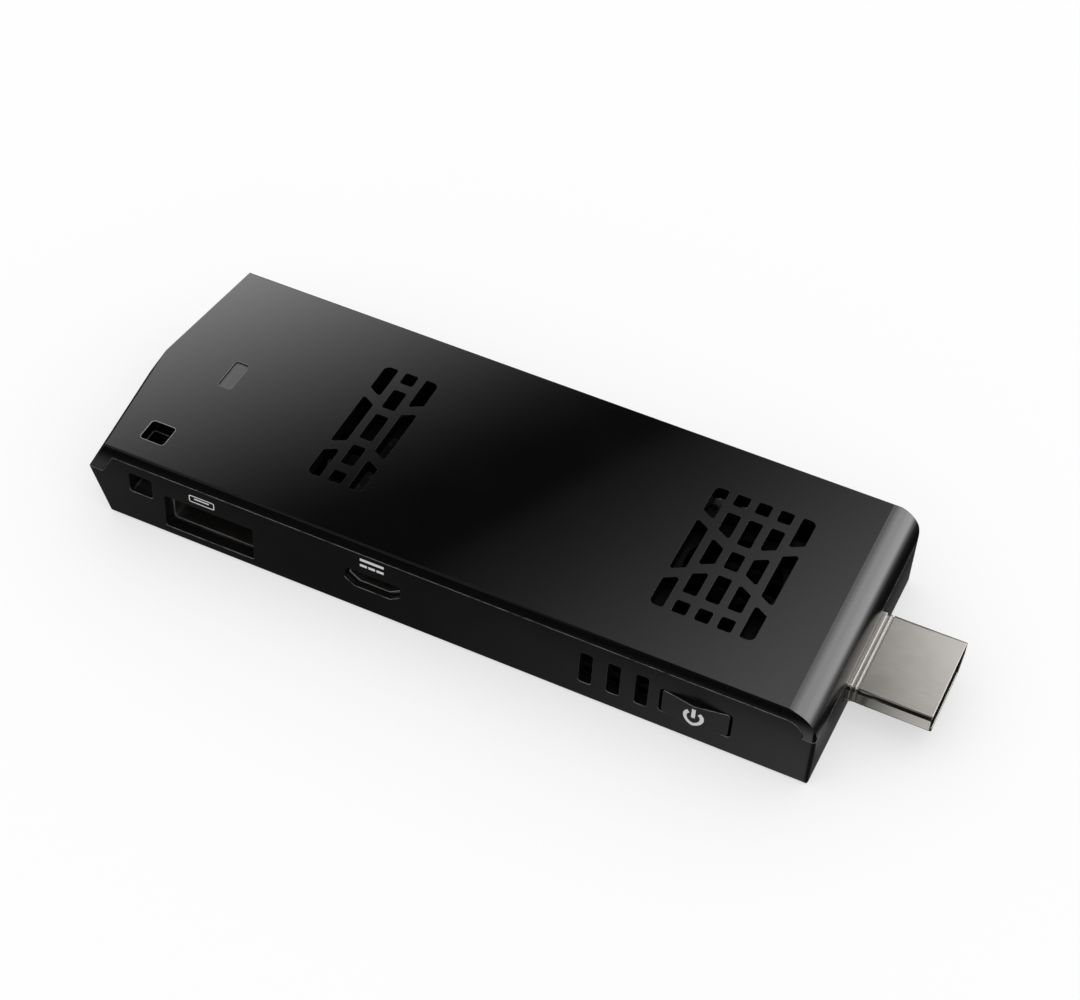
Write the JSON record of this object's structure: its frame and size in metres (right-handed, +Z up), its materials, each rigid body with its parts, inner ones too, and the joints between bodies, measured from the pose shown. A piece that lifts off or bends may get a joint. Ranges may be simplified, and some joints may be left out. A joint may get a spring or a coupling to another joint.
{
  "type": "hdmi stick computer",
  "caption": "Stick computer with an HDMI plug at one end, a vented top cover, ports and a sprung power button in its side, and a fan inside.",
  "frame": {"origin": "on the underside, on the case's middle line, half way along the length including the plug", "axes": "+X along the stick from the nose to the plug, +Y across to the card-slot side, +Z up to the vented cover"},
  "size_m": [0.1145, 0.0383, 0.0125],
  "materials": {
    "cover_plastic": "gloss lacquer",
    "case_plastic": "fine matte grain",
    "button_plastic": "fine matte grain",
    "lamp_plastic": "smoked translucent",
    "plug_metal": "nickel plated, fine brush",
    "port_metal": "plated sheet",
    "insulator": "matte",
    "contact_metal": "gold plated",
    "board": "black solder mask",
    "radio_board": "blue solder mask",
    "chip_black": "moulded",
    "processor_base": "bare die on a green base",
    "pad": "soft pad",
    "aluminium": "black anodised",
    "shield": "tinned sheet",
    "aerial": "flexible copper film",
    "screw_steel": "plain",
    "ferrite": "sintered",
    "ceramic": "fired",
    "crystal_can": "plain lid",
    "lamp_chip": "moulded",
    "switch_plastic": "moulded",
    "lead_rubber": "satin",
    "fan_lead_rubber": "satin",
    "fan_plastic": "moulded",
    "magnet": "bonded",
    "bronze": "sintered",
    "copper_wire": "enamelled",
    "connector_plastic": "moulded"
  },
  "bodies": {
    "case": {"top_cover": "cover_plastic", "bottom_case": "case_plastic", "light_pipe": "lamp_plastic", "status_led": "lamp_chip", "switch_body": "switch_plastic", "main_board": "board", "board_screws": "screw_steel", "sink_screws": "screw_steel", "fan_screws": "screw_steel", "processor": "processor_base", "thermal_pad": "pad", "heat_sink": "aluminium", "memory_chips": "chip_black", "flash_chip": "chip_black", "power_controller": "chip_black", "power_inductors": "ferrite", "crystals": "crystal_can", "capacitors": "ceramic", "wireless_board": "radio_board", "wireless_shield": "shield", "antenna_far": "aerial", "antenna_near": "aerial", "antenna_leads": "lead_rubber", "plug_shell": "plug_metal", "plug_collar": "plug_metal", "plug_insulator": "insulator", "plug_contacts": "contact_metal", "usb_shell": "port_metal", "usb_tongue": "insulator", "usb_contacts": "contact_metal", "micro_usb_shell": "port_metal", "micro_usb_tongue": "insulator", "micro_usb_contacts": "contact_metal", "card_shell": "port_metal", "card_base": "insulator", "card_contacts": "contact_metal", "fan_housing": "fan_plastic", "fan_plate": "aluminium", "fan_bearing": "bronze", "fan_stator": "copper_wire", "fan_leads": "fan_lead_rubber", "fan_connector": "connector_plastic"},
    "button": {"power_button": "button_plastic"},
    "stem": {"switch_stem": "button_plastic"},
    "rotor": {"fan_rotor": "fan_plastic", "fan_magnet": "magnet", "fan_shaft": "screw_steel"}
  },
  "joints": [
    {"name": "button_press", "type": "slide", "parent": "case", "child": "button", "axis": [0, 1, 0], "range_m": [0, 0.0003], "stiffness_N_per_m": 1500, "springref_m": -0.0005},
    {"name": "stem_press", "type": "slide", "parent": "case", "child": "stem", "axis": [0, 1, 0], "range_m": [0, 0.0003]},
    {"name": "fan_spin", "type": "hinge", "parent": "case", "child": "rotor", "pos_m": [0.02757, 0, 0.007], "axis": [0, 0, 1], "continuous": true}
  ],
  "couplings": [
    {"joint": "stem_press", "follows": "button_press", "ratio": 1}
  ]
}
